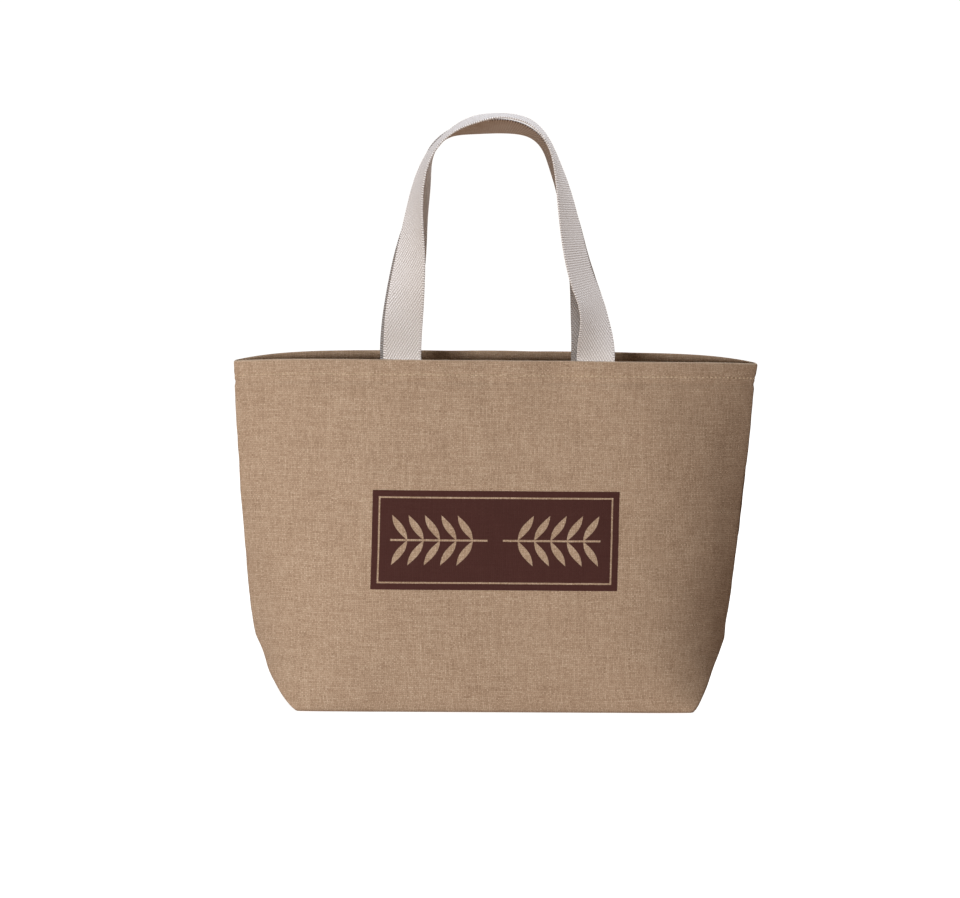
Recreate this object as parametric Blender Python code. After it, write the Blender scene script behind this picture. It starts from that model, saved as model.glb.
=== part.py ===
"""An open jute shopping bag that stands on its boxed base, with two cotton webbing handles.

Metres, +Z up, +X to the right of somebody facing the bag's front, which looks along -Y.
The origin is the middle of the base's underside.

The body is one length of burlap: folded under as the base, sewn up both sides, and sewn across the
bottom corners. At every height the cloth keeps its width of half a metre from seam to seam, so the
box shape at the base closes to a lens at the rim, and the side seams break outward at a kink above
the base.
"""
import math
from collections import namedtuple

import bmesh
import bpy
import numpy as np

MM = 0.001

# Cloth
CLOTH = 1.6 * MM
HEM = 3.4 * MM
HEM_DEPTH = 19 * MM
HEM_STEP = 0.5 * MM

# Webbing
WEB_WIDTH = 35 * MM
WEB = 1.8 * MM
SEWN_END = 17.5 * MM
SEAT_GAP = 0.45 * MM
# How far above the rim a handle starts to twist
CLEAR_OF_RIM = 5 * MM
# How far outside its first free station each end is sewn, because a loaded handle pulls its legs in
LEFT_END_OUT = 1.5 * MM
RIGHT_END_OUT = 0.5 * MM

# The bag's cross-sections, in millimetres. "seam" is the height of the side seams above the floor,
# and the cloth between them stands "rise" higher. "left" and "right" are the half widths, "front"
# and "back" the depths at the middle. "side_l" and "side_r" are half the depth of the side facets,
# which shrink to the rounded edge of the side seam. "turn_l" and "turn_r" say how late the front
# turns towards its seams, and "turn_b" the back: 2 is an even arc, and a high number is a box.
COLUMNS = "seam rise left right front back side_l side_r turn_l turn_r turn_b"
Section = namedtuple("Section", COLUMNS)
KINK = Section(57.5, 9.0, 226.0, 216.5, 69.6, 69.6, 3.8, 9.0, 4.8, 5.8, 5.4)
BOXED_BASE = [
    Section(0.0, 0.0, 185.0, 185.0, 63.5, 63.5, 62.0, 62.0, 14.0, 14.0, 14.0),
    Section(2.0, 0.2, 187.2, 187.0, 65.0, 65.0, 62.5, 62.5, 14.0, 14.0, 14.0),
    Section(12.0, 1.8, 197.8, 194.5, 67.0, 67.0, 52.0, 52.0, 10.0, 10.0, 10.0),
    Section(29.0, 5.0, 209.6, 203.4, 68.8, 68.8, 33.0, 34.0, 6.8, 7.4, 7.2),
    Section(45.0, 7.6, 218.0, 211.0, 69.5, 69.5, 15.0, 19.0, 5.4, 6.4, 6.0),
    KINK,
]
SIDES = [
    KINK,
    Section(75.0, 9.2, 229.5, 218.5, 69.3, 69.4, 3.0, 5.5, 4.6, 5.4, 5.2),
    Section(100.0, 9.0, 232.8, 221.8, 68.0, 68.4, 2.8, 3.5, 4.3, 5.0, 5.0),
    Section(150.0, 8.4, 236.2, 227.8, 63.0, 64.2, 2.6, 2.8, 3.9, 4.6, 4.8),
    Section(200.0, 7.6, 238.8, 232.4, 56.5, 58.5, 2.6, 2.6, 3.5, 4.3, 4.8),
    Section(250.0, 6.8, 241.3, 237.5, 48.0, 51.5, 2.8, 2.8, 3.2, 4.2, 5.6),
    Section(300.0, 6.1, 243.4, 241.4, 38.5, 43.5, 4.0, 4.0, 2.9, 4.0, 6.8),
    Section(319.0, 5.8, 244.0, 244.0, 34.0, 40.0, 4.4, 4.4, 2.8, 4.0, 7.6),
]
# How late the rise falls to nothing on the way to the seams: 2 is an even arc
RISE_FALLS = 5
# How much lower the right end of the rim hangs
RIGHT_SEAM_DROP = 1.6 * MM

# Shallow vertical folds under the rim: place, half width, depth at the rim, and how far down each
# has faded, in millimetres. A negative depth stands proud.
Fold = namedtuple("Fold", "x half_width depth fades")
FRONT_FOLDS = [
    Fold(-7.0, 13.0, 2.6, 95.0),
    Fold(14.0, 10.0, -1.0, 80.0),
    Fold(60.0, 15.0, 3.2, 80.0),
    Fold(-125.0, 26.0, 1.2, 45.0),
]
BACK_FOLDS = [
    Fold(-42.0, 15.0, 2.2, 90.0),
    Fold(35.0, 14.0, 2.6, 80.0),
    Fold(134.0, 19.0, 1.4, 60.0),
]

# How fast a fold dies away below the rim: 1 is an even fade
FOLD_FALLS = 1.5

# Places across a handle's seat where the hem is felt for
SEAT_SAMPLES = 9

# Mesh steps
PANEL_COLUMNS = 44
PANEL_SAMPLES = 401
BASE_RINGS = 8
# Above 1, the rings of the boxed base are closer together near the floor
BASE_SPACING = 1.15
SIDE_RINGS = 12
HEM_RINGS = 2
WEB_STEPS = 84
SMOOTHING_PASSES = 3
SHARP_ANGLE = math.radians(40)

# The free run of each handle, from just above its left end on the rim to just above its right one,
# in millimetres. "twist" is how far the webbing has turned out of the panel's plane, in degrees.
Station = namedtuple("Station", "x y z twist")
FRONT_HANDLE = [
    Station(-85.4, -28.0, 356.0, 2.0),
    Station(-82.1, -27.5, 388.0, 22.0),
    Station(-78.5, -26.0, 420.0, 40.0),
    Station(-76.0, -24.5, 451.0, 60.0),
    Station(-72.0, -22.5, 482.0, 73.0),
    Station(-62.5, -20.0, 510.0, 82.0),
    Station(-45.2, -18.2, 529.3, 86.0),
    Station(-23.5, -17.5, 541.6, 81.0),
    Station(4.0, -17.2, 546.2, 87.0),
    Station(28.3, -17.8, 541.3, 84.0),
    Station(46.0, -19.0, 523.0, 85.0),
    Station(52.3, -20.5, 507.5, 82.0),
    Station(58.8, -22.5, 483.5, 71.0),
    Station(64.9, -24.5, 452.5, 59.5),
    Station(71.3, -26.5, 420.5, 53.0),
    Station(79.2, -27.5, 393.0, 50.0),
    Station(87.0, -28.0, 374.0, 48.0),
    Station(90.5, -28.0, 350.0, 32.0),
]
BACK_HANDLE = [
    Station(-90.5, 34.8, 349.5, 6.0),
    Station(-85.9, 34.6, 382.5, 18.0),
    Station(-80.7, 33.5, 415.0, 33.0),
    Station(-75.1, 30.0, 448.0, 55.0),
    Station(-68.3, 25.5, 480.0, 70.0),
    Station(-63.3, 21.5, 508.0, 81.0),
    Station(-48.3, 19.2, 526.6, 82.0),
    Station(-23.5, 18.6, 533.7, 69.0),
    Station(6.0, 18.5, 535.5, 67.0),
    Station(30.0, 19.0, 530.2, 76.0),
    Station(45.0, 20.5, 515.0, 82.5),
    Station(51.8, 22.5, 499.0, 78.0),
    Station(58.0, 25.5, 480.5, 70.0),
    Station(66.8, 29.5, 448.5, 57.0),
    Station(74.4, 33.5, 415.7, 44.0),
    Station(82.9, 34.6, 383.5, 33.0),
    Station(87.9, 34.8, 350.4, 9.0),
]


def clear_scene():
    for item in list(bpy.data.objects):
        bpy.data.objects.remove(item)


def smooth_through(places, known, values):
    """Values of a smooth curve through (known, values), without overshoot, at each place."""
    known, values = np.asarray(known, float), np.asarray(values, float)
    steps = np.diff(known)
    slopes = np.diff(values, axis=0) / steps[:, None]
    bends = np.zeros_like(values)
    bends[0], bends[-1] = slopes[0], slopes[-1]
    before, after = slopes[:-1], slopes[1:]
    same_way = before * after > 0
    mean = np.divide(
        2 * before * after, before + after, out=np.zeros_like(before), where=same_way
    )
    bends[1:-1] = mean
    places = np.clip(np.atleast_1d(places), known[0], known[-1])
    i = np.clip(np.searchsorted(known, places, side="right") - 1, 0, len(steps) - 1)
    h = steps[i][:, None]
    t = ((places - known[i]) / steps[i])[:, None]
    return (
        values[i] * (1 + 2 * t) * (1 - t) ** 2
        + bends[i] * h * t * (1 - t) ** 2
        + values[i + 1] * t * t * (3 - 2 * t)
        + bends[i + 1] * h * t * t * (t - 1)
    )


def section_at(seam):
    """The cross-section whose side seams are at this height, in metres."""
    rows = BOXED_BASE if seam <= SIDES[0].seam * MM else SIDES
    heights = [row.seam for row in rows]
    values = smooth_through(seam / MM, heights, rows)[0]
    return Section(*(values[:8] * MM), *values[8:])


def fold_depth(folds, x, below_rim):
    """How far the folds push the cloth inwards at x, this far below the rim."""
    depth = 0.0
    for fold in folds:
        across = math.exp(-(((x / MM - fold.x) / fold.half_width) ** 2))
        down = max(0.0, 1 - below_rim / MM / fold.fades)
        depth += fold.depth * MM * across * down**FOLD_FALLS
    return depth


def panel_point(section, share, back):
    """A point of the front or back panel: share runs from -1 at the left crease to 1 at the right."""
    left = share < 0
    reach = section.left if left else section.right
    side = section.side_l if left else section.side_r
    turn = section.turn_b if back else section.turn_l if left else section.turn_r
    depth = section.back if back else section.front
    x = share * reach
    y = depth - (depth - side) * abs(share) ** turn
    rim = SIDES[-1].seam * MM
    up = section.seam / rim
    y -= fold_depth(BACK_FOLDS if back else FRONT_FOLDS, x, rim - section.seam)
    z = section.seam + section.rise * (1 - abs(share) ** RISE_FALLS)
    z -= RIGHT_SEAM_DROP * up * max(0.0, share)
    return np.array((x, y if back else -y, z))


def panel_row(section, back):
    """One row of a panel's points, evenly spaced along the cloth from left to right."""
    shares = np.linspace(-1, 1, PANEL_SAMPLES)
    fine = np.array([panel_point(section, share, back) for share in shares])
    along = np.concatenate([[0], np.cumsum(np.linalg.norm(np.diff(fine, axis=0), axis=1))])
    even = np.linspace(0, along[-1], PANEL_COLUMNS + 1)
    return [panel_point(section, share, back) for share in np.interp(even, along, shares)]


def ring(section):
    """The closed cross-section: front from left to right, right seam, back, left seam."""
    front = panel_row(section, back=False)
    back = panel_row(section, back=True)
    right_seam = (front[-1] + back[-1]) / 2
    left_seam = (front[0] + back[0]) / 2
    return front + [right_seam] + back[::-1] + [left_seam]


def ring_heights():
    """Heights of the seams at each ring: closer in the boxed base, and a step at the hem's edge."""
    kink, rim = SIDES[0].seam * MM, SIDES[-1].seam * MM
    low = np.linspace(0, 1, BASE_RINGS) ** BASE_SPACING
    base = BOXED_BASE[1].seam * MM + (kink - BOXED_BASE[1].seam * MM) * low
    hem = rim - HEM_DEPTH
    sides = kink + (hem - HEM_STEP - kink) * np.linspace(0, 1, SIDE_RINGS + 1)[1:]
    top = hem + HEM_DEPTH * np.linspace(0, 1, HEM_RINGS + 1)
    return np.concatenate([[0.0], base, sides, top])


def build_body(material):
    """The burlap: rings lofted from base to rim, a base between front and back, then thickness."""
    bm = bmesh.new()
    weights = bm.verts.layers.deform.verify()
    heights = ring_heights()
    rings = [[bm.verts.new(p) for p in ring(section_at(h))] for h in heights]
    around = len(rings[0])
    for low, high in zip(rings, rings[1:]):
        for i in range(around):
            j = (i + 1) % around
            bm.faces.new((low[i], low[j], high[j], high[i]))
    last = PANEL_COLUMNS
    front = rings[0][: last + 1]
    back = rings[0][last + 2 : 2 * last + 3][::-1]
    right_mid, left_mid = rings[0][last + 1], rings[0][-1]
    inner = [bm.verts.new((f.co + b.co) / 2) for f, b in zip(front[1:-1], back[1:-1])]
    middle = [left_mid] + inner + [right_mid]
    for near, far in ((front, middle), (middle, back)):
        for i in range(last):
            bm.faces.new((near[i], far[i], far[i + 1], near[i + 1]))
    for v in bm.verts:
        v[weights][0] = CLOTH / HEM
    for row in rings[-(HEM_RINGS + 1) :]:
        for v in row:
            v[weights][0] = 1.0
    mesh = bpy.data.meshes.new("bag_body")
    bm.to_mesh(mesh)
    bm.free()
    body = bpy.data.objects.new("bag_body", mesh)
    bpy.context.collection.objects.link(body)
    body.vertex_groups.new(name="thickness")
    solid = body.modifiers.new("cloth", "SOLIDIFY")
    solid.thickness = HEM
    solid.offset = -1
    solid.use_even_offset = True
    solid.vertex_group = "thickness"
    mesh.materials.append(material)
    mesh.shade_smooth()
    mesh.set_sharp_from_angle(angle=SHARP_ANGLE)
    return body


def sewn_stations(x, back):
    """Stations of a handle's sewn end, flat on the inside of the hem and up past the rim, in metres."""
    rim = SIDES[-1].seam * MM
    found = []
    for below in (SEWN_END, SEWN_END / 2, 0.0):
        section = section_at(rim - below)
        reach = section.left if x < 0 else section.right
        places = np.linspace(x - WEB_WIDTH / 2, x + WEB_WIDTH / 2, SEAT_SAMPLES)
        spots = [panel_point(section, place / reach, back) for place in places]
        over = spots[-1] - spots[0]
        here = panel_point(section, x / reach, back)
        up = here - panel_point(section_at(rim - below - MM), x / reach, back)
        inwards = np.cross(over, up) if back else np.cross(up, over)
        inwards = inwards / np.linalg.norm(inwards)
        proud = max(np.dot(spot - here, inwards) for spot in spots)
        seat = here + inwards * (proud + HEM + SEAT_GAP + WEB / 2)
        lean = over[1] if (x < 0) == back else -over[1]
        twist = math.degrees(math.atan2(lean, over[0]))
        found.append(np.append(seat, twist))
    clear = up / np.linalg.norm(up) * CLEAR_OF_RIM
    found.append(found[-1] + np.append(clear, 0.0))
    return found


def build_handle(name, stations, back, material):
    """A flat strap swept along its stations, its width turning from the panel's plane to level."""
    free = [np.array([s.x * MM, s.y * MM, s.z * MM, s.twist]) for s in stations]
    left = sewn_stations(stations[0].x * MM - LEFT_END_OUT, back)
    right = sewn_stations(stations[-1].x * MM + RIGHT_END_OUT, back)[::-1]
    table = np.array(left + free + right)
    pieces = np.linalg.norm(np.diff(table[:, :3], axis=0), axis=1)
    along = np.concatenate([[0], np.cumsum(pieces)])
    places = np.linspace(0, along[-1], WEB_STEPS + 1)
    run = smooth_through(places, along, table)
    held = math.ceil((SEWN_END + CLEAR_OF_RIM) / places[1])
    for _ in range(SMOOTHING_PASSES):
        eased = (run[:-2] + 2 * run[1:-1] + run[2:]) / 4
        run[held:-held] = eased[held - 1 : 1 - held]
    tangents = np.gradient(run[:, :3], places, axis=0)
    bm = bmesh.new()
    loops = []
    for (x, y, z, twist), tangent in zip(run, tangents):
        tangent = tangent / np.linalg.norm(tangent)
        flat = np.cross((0, 1, 0), tangent)
        flat = flat / np.linalg.norm(flat)
        sideways = np.cross(tangent, flat)
        turned = math.radians(twist) * (1 if back else -1)
        across = math.cos(turned) * flat + math.sin(turned) * sideways
        through = np.cross(tangent, across)
        centre = np.array((x, y, z))
        corners = ((-1, -1), (1, -1), (1, 1), (-1, 1))
        loops.append(
            [
                bm.verts.new(centre + across * a * WEB_WIDTH / 2 + through * b * WEB / 2)
                for a, b in corners
            ]
        )
    for low, high in zip(loops, loops[1:]):
        for i in range(4):
            j = (i + 1) % 4
            bm.faces.new((low[i], low[j], high[j], high[i]))
    bm.faces.new(loops[0][::-1])
    bm.faces.new(loops[-1])
    mesh = bpy.data.meshes.new(name)
    bm.to_mesh(mesh)
    bm.free()
    mesh.materials.append(material)
    mesh.shade_smooth()
    mesh.set_sharp_from_angle(angle=SHARP_ANGLE)
    handle = bpy.data.objects.new(name, mesh)
    bpy.context.collection.objects.link(handle)
    return handle


def cloth_material(name, colour, roughness):
    material = bpy.data.materials.new(name)
    material.use_nodes = True
    surface = material.node_tree.nodes["Principled BSDF"]
    surface.inputs["Base Color"].default_value = (*colour, 1)
    surface.inputs["Roughness"].default_value = roughness
    surface.inputs["Metallic"].default_value = 0.0
    return material


def build():
    clear_scene()
    burlap = cloth_material("burlap", (0.42, 0.29, 0.19), 0.92)
    webbing = cloth_material("webbing", (0.66, 0.61, 0.55), 0.85)
    build_body(burlap)
    build_handle("handle_front", FRONT_HANDLE, False, webbing)
    build_handle("handle_back", BACK_HANDLE, True, webbing)


build()
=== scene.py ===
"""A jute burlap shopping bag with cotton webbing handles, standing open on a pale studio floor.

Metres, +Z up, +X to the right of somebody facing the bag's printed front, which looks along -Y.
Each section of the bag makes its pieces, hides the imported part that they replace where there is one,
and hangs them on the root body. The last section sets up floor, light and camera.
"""
import math
from collections import namedtuple

import bpy
import numpy as np
from mathutils import Euler, Matrix, Vector, noise


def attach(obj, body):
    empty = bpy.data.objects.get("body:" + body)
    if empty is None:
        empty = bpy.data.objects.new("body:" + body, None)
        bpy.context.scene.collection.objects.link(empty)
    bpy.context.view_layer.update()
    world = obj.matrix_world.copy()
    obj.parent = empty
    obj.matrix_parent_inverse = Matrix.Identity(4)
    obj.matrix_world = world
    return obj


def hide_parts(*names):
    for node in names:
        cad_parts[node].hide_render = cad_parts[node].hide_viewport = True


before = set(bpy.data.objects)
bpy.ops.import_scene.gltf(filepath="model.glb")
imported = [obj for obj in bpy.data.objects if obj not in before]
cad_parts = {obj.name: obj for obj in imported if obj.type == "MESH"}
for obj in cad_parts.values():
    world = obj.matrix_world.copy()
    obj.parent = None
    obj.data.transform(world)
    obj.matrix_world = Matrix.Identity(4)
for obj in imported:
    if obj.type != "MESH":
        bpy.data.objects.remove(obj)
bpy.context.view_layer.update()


# ---------------------------------------------------------------- the bag's body
# One length of plain-woven jute, folded under as the base, sewn up both sides and across the bottom
# corners, with a folded hem round the mouth. The dark panel is screen-printed on the front only.

MM = 0.001
CLOTH = 1.6 * MM
HEM = 3.4 * MM
HEM_DEPTH = 19 * MM
STITCH_BELOW_RIM = 14 * MM

# The cross-sections of the part's solid, in millimetres. seam is the height of the side seams, and
# rise is how much higher the middle is. left and right are half widths, front and back half depths in
# the middle, and the sides half depths at the creases. A turn says how late a panel bends towards its
# crease. KINK is where the folded bottom corners end.
COLUMNS = "seam rise left right front back side_l side_r turn_l turn_r turn_b"
Section = namedtuple("Section", COLUMNS)
KINK = Section(57.5, 9.0, 226.0, 216.5, 69.6, 69.6, 3.8, 9.0, 4.8, 5.8, 5.4)
BOXED_BASE = [
    Section(0.0, 0.0, 185.0, 185.0, 63.5, 63.5, 62.0, 62.0, 14.0, 14.0, 14.0),
    Section(2.0, 0.2, 187.2, 187.0, 65.0, 65.0, 62.5, 62.5, 14.0, 14.0, 14.0),
    Section(12.0, 1.8, 197.8, 194.5, 67.0, 67.0, 52.0, 52.0, 10.0, 10.0, 10.0),
    Section(29.0, 5.0, 209.6, 203.4, 68.8, 68.8, 33.0, 34.0, 6.8, 7.4, 7.2),
    Section(45.0, 7.6, 218.0, 211.0, 69.5, 69.5, 15.0, 19.0, 5.4, 6.4, 6.0),
    KINK,
]
SIDES = [
    KINK,
    Section(75.0, 9.2, 229.5, 218.5, 69.3, 69.4, 3.0, 5.5, 4.6, 5.4, 5.2),
    Section(100.0, 9.0, 232.8, 221.8, 68.0, 68.4, 2.8, 3.5, 4.3, 5.0, 5.0),
    Section(150.0, 8.4, 236.2, 227.8, 63.0, 64.2, 2.6, 2.8, 3.9, 4.6, 4.8),
    Section(200.0, 7.6, 238.8, 232.4, 56.5, 58.5, 2.6, 2.6, 3.5, 4.3, 4.8),
    Section(250.0, 6.8, 241.3, 237.5, 48.0, 51.5, 2.8, 2.8, 3.2, 4.2, 5.6),
    Section(300.0, 6.1, 243.4, 241.4, 38.5, 43.5, 4.0, 4.0, 2.9, 4.0, 6.8),
    Section(319.0, 5.8, 244.0, 244.0, 34.0, 40.0, 4.4, 4.4, 2.8, 4.0, 7.6),
]
RIM = SIDES[-1].seam * MM

# A row keeps its height over most of the width and falls at the seams, a little more at the right
# one. A fold hangs from the rim and fades out downwards, in millimetres: a dent, or a bulge where
# its depth is negative.
RISE_FALLS = 5
RIGHT_SEAM_DROP = 1.6 * MM
FOLD_FALLS = 1.5
Fold = namedtuple("Fold", "x half_width depth fades")
FRONT_FOLDS = [
    Fold(-7.0, 13.0, 2.6, 95.0),
    Fold(14.0, 10.0, -1.0, 80.0),
    Fold(60.0, 15.0, 3.2, 80.0),
    Fold(-125.0, 26.0, 1.2, 45.0),
]
BACK_FOLDS = [
    Fold(-42.0, 15.0, 2.2, 90.0),
    Fold(35.0, 14.0, 2.6, 80.0),
    Fold(134.0, 19.0, 1.4, 60.0),
]

# Mesh steps: a quad of the outside is about 3 mm
PANEL_STEPS = 150
FACET_STEPS = 28
ROW_STEP = 2.9 * MM
HEM_ROW_STEP = 1.4 * MM
HEM_ROWS_START = 6 * MM
HEM_INSIDE_STEP = 2 * MM
INSIDE_ROW_STEP = 6 * MM
INSIDE_ROWS_START = 4 * MM
RIM_STEPS = 8
PANEL_SAMPLES = 801

# Passes that round a crease: few at the folded base, and more once the sides have turned upright
CREASE_PASSES = 2
SIDE_PASSES = 12
ROUNDER_BY = 60 * MM

# The right end of the mouth is drawn back, more and more from these places outwards and upwards
RIGHT_END_BACK = 9 * MM
DRAWN_FROM_X = 140 * MM
DRAWN_ACROSS = 100 * MM
DRAWN_FROM_Z = 150 * MM
DRAWN_UP = 150 * MM
DRAWN_CURVE = 1.5

# Low relief: how high each form stands or how deep it lies, and how wide it is
SLACK = 0.8 * MM
SLACK_WIDTH = 75 * MM
HELD_BY_HEM = 30 * MM
HELD_BY_BASE = 25 * MM
RIPPLE = 0.28 * MM
RIPPLE_WIDTH = 26 * MM
RIPPLES_FLATTER = 1.6
PUCKER = 0.45 * MM
PUCKER_WIDTH = 11 * MM
PUCKERS_TALLER = 0.15
PUCKER_REACH = 5 * MM
BACK_APART = 3
STITCH_GROOVE = 0.75 * MM
STITCH_GROOVE_WIDTH = 1.7 * MM
HEM_DIP = 1.1 * MM
HEM_DIP_BELOW = 0.5 * MM
HEM_DIP_WIDTH = 2.6 * MM
SEAM_GROOVE = 0.5 * MM
SEAM_GROOVE_WIDTH = 0.9 * MM

# The hem's raw edge inside: how far it is rounded, and how steep its step down to the single cloth is
EDGE_ROUND = 0.4 * MM
EDGE_STEP = 0.15 * MM


def smooth_through(places, known, values):
    """Values of a smooth curve through (known, values), without overshoot, at each place."""
    known, values = np.asarray(known, float), np.asarray(values, float)
    steps = np.diff(known)
    slopes = np.diff(values, axis=0) / steps[:, None]
    bends = np.zeros_like(values)
    bends[0], bends[-1] = slopes[0], slopes[-1]
    before, after = slopes[:-1], slopes[1:]
    same_way = before * after > 0
    bends[1:-1] = np.divide(
        2 * before * after, before + after, out=np.zeros_like(before), where=same_way
    )
    places = np.clip(np.atleast_1d(places), known[0], known[-1])
    i = np.clip(np.searchsorted(known, places, side="right") - 1, 0, len(steps) - 1)
    h = steps[i][:, None]
    t = ((places - known[i]) / steps[i])[:, None]
    return (
        values[i] * (1 + 2 * t) * (1 - t) ** 2
        + bends[i] * h * t * (1 - t) ** 2
        + values[i + 1] * t * t * (3 - 2 * t)
        + bends[i + 1] * h * t * t * (t - 1)
    )


def section_at(seam):
    """The cross-section whose side seams are at this height, in metres."""
    rows = BOXED_BASE if seam <= SIDES[0].seam * MM else SIDES
    values = smooth_through(seam / MM, [row.seam for row in rows], rows)[0]
    return Section(*(values[:8] * MM), *values[8:])


def panel_points(section, shares, back):
    """Points of the front or back panel: a share runs from -1 at the left crease to 1 at the right."""
    shares = np.atleast_1d(np.asarray(shares, float))
    left = shares < 0
    x = shares * np.where(left, section.left, section.right)
    side = np.where(left, section.side_l, section.side_r)
    turn = section.turn_b if back else np.where(left, section.turn_l, section.turn_r)
    depth = section.back if back else section.front
    y = depth - (depth - side) * np.abs(shares) ** turn
    below_rim = RIM - section.seam
    for fold in BACK_FOLDS if back else FRONT_FOLDS:
        across = np.exp(-(((x / MM - fold.x) / fold.half_width) ** 2))
        y -= fold.depth * MM * across * max(0.0, 1 - below_rim / MM / fold.fades) ** FOLD_FALLS
    z = section.seam + section.rise * (1 - np.abs(shares) ** RISE_FALLS)
    z -= RIGHT_SEAM_DROP * section.seam / RIM * np.maximum(0.0, shares)
    return np.column_stack([x, y if back else -y, z])


def lengths_along(points):
    """Distance travelled along a row of points, starting at 0."""
    return np.concatenate([[0], np.cumsum(np.linalg.norm(np.diff(points, axis=0), axis=1))])


def panel_row(section, back):
    """One row of a panel, evenly spaced along the cloth from left to right."""
    shares = np.linspace(-1, 1, PANEL_SAMPLES)
    along = lengths_along(panel_points(section, shares, back))
    even = np.linspace(0, along[-1], PANEL_STEPS + 1)
    return panel_points(section, np.interp(even, along, shares), back)


def ring(section):
    """The closed cross-section: front from left to right, right facet, back, left facet."""
    front, back = panel_row(section, False), panel_row(section, True)[::-1]
    shares = np.linspace(0, 1, FACET_STEPS + 1)[1:-1, None]
    right = front[-1] * (1 - shares) + back[0] * shares
    left = back[-1] * (1 - shares) + front[0] * shares
    return np.concatenate([front, right, back, left])


RIGHT_SEAM = PANEL_STEPS + FACET_STEPS // 2
BACK_START = PANEL_STEPS + FACET_STEPS
AROUND = 2 * (PANEL_STEPS + FACET_STEPS)
LEFT_SEAM = AROUND - FACET_STEPS // 2


def ease(grid, passes):
    """Round each ring's creases by averaging every point with its neighbours."""
    for _ in range(passes):
        grid = (np.roll(grid, 1, axis=1) + 2 * grid + np.roll(grid, -1, axis=1)) / 4
    return grid


def outward(grid):
    """Unit normals of the rings of a closed wall, facing out."""
    around = np.roll(grid, -1, axis=1) - np.roll(grid, 1, axis=1)
    up = np.gradient(grid, axis=0)
    normals = np.cross(around, up)
    return normals / np.linalg.norm(normals, axis=2, keepdims=True)


def cloth_places(grid):
    """Where each point lies on the cut cloth: s across it from the middle, and t along it.

    The cloth runs down the back, under the base and up the front. Each side seam joins two edges of
    it, so s has one value in front of a seam and another behind.
    """
    steps = np.linalg.norm(np.roll(grid, -1, axis=1) - grid, axis=2)
    along = np.concatenate([np.zeros((len(grid), 1)), np.cumsum(steps, axis=1)], axis=1)
    middle_front = along[:, PANEL_STEPS // 2][:, None]
    middle_back = along[:, BACK_START + PANEL_STEPS // 2][:, None]
    front = along - middle_front
    front[:, LEFT_SEAM:] -= along[:, -1:]
    back = middle_back - along
    rows = grid[:, PANEL_STEPS // 2]
    return front, back, lengths_along(rows)


def lumps(s, t, width, seed):
    """Smooth noise over the cloth, from about -1 to 1, with lumps of about this width."""
    flat = [
        noise.noise(Vector((a / width, b / width, seed)))
        for a, b in zip(np.ravel(s), np.ravel(t))
    ]
    return np.reshape(flat, np.shape(s)) * 2


def wall_rows():
    """Heights of the outside's rows: even up to the hem, and closer across it."""
    hem = RIM - HEM_DEPTH - HEM_ROWS_START
    lower = np.linspace(0, hem, int(hem / ROW_STEP) + 1)
    upper = np.linspace(hem, RIM - HEM / 2, int((RIM - hem) / HEM_ROW_STEP) + 1)
    return np.concatenate([lower, upper[1:]])


def bell(distance, width):
    """1 at no distance, and fading to nothing over about two widths."""
    return np.exp(-((distance / width) ** 2))


def relief(front_s, back_s, t, heights):
    """How far the cloth stands proud of the plain shape: slack, puckers, hem and side seams."""
    # The back reads another part of the noise than the front
    s = np.where(np.abs(front_s) < np.abs(back_s), front_s, back_s + BACK_APART)
    down = (RIM - heights)[:, None]
    t = np.broadcast_to(t[:, None], s.shape)
    # Base and hem hold the cloth, and between them it is free
    free = np.clip(down / HELD_BY_HEM, 0, 1) * np.clip(heights / HELD_BY_BASE, 0, 1)[:, None]
    proud = SLACK * lumps(s, t, SLACK_WIDTH, 1.0) * free
    proud += RIPPLE * lumps(s, t * RIPPLES_FLATTER, RIPPLE_WIDTH, 2.0) * (0.35 + 0.65 * free)
    # The stitch line pulls the hem in, and the single cloth under it lies behind the doubled one
    from_stitch = down - STITCH_BELOW_RIM
    proud -= STITCH_GROOVE * bell(from_stitch, STITCH_GROOVE_WIDTH)
    proud -= HEM_DIP * bell(down - HEM_DEPTH - HEM_DIP_BELOW, HEM_DIP_WIDTH)
    puckers = lumps(s, t * PUCKERS_TALLER, PUCKER_WIDTH, 3.0)
    proud += PUCKER * puckers * bell(from_stitch, PUCKER_REACH)
    # Each side seam is a narrow groove
    from_seam = np.minimum(
        np.abs(front_s - front_s[:, RIGHT_SEAM][:, None]),
        np.abs(front_s - front_s[:, LEFT_SEAM][:, None]),
    )
    return proud - SEAM_GROOVE * bell(from_seam, SEAM_GROOVE_WIDTH)


def plain_wall(heights):
    """The outside's rings without relief, with the creases rounded and the right end drawn back."""
    plain = ease(np.array([ring(section_at(h)) for h in heights]), CREASE_PASSES)
    across = np.clip((plain[:, :, 0] - DRAWN_FROM_X) / DRAWN_ACROSS, 0, 1) ** DRAWN_CURVE
    up = np.clip((heights - DRAWN_FROM_Z) / DRAWN_UP, 0, 1)[:, None]
    plain[:, :, 1] += RIGHT_END_BACK * across * up
    rounder = np.clip((heights - KINK.seam * MM) / ROUNDER_BY, 0, 1)[:, None, None]
    return plain * (1 - rounder) + ease(plain, SIDE_PASSES) * rounder


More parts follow.
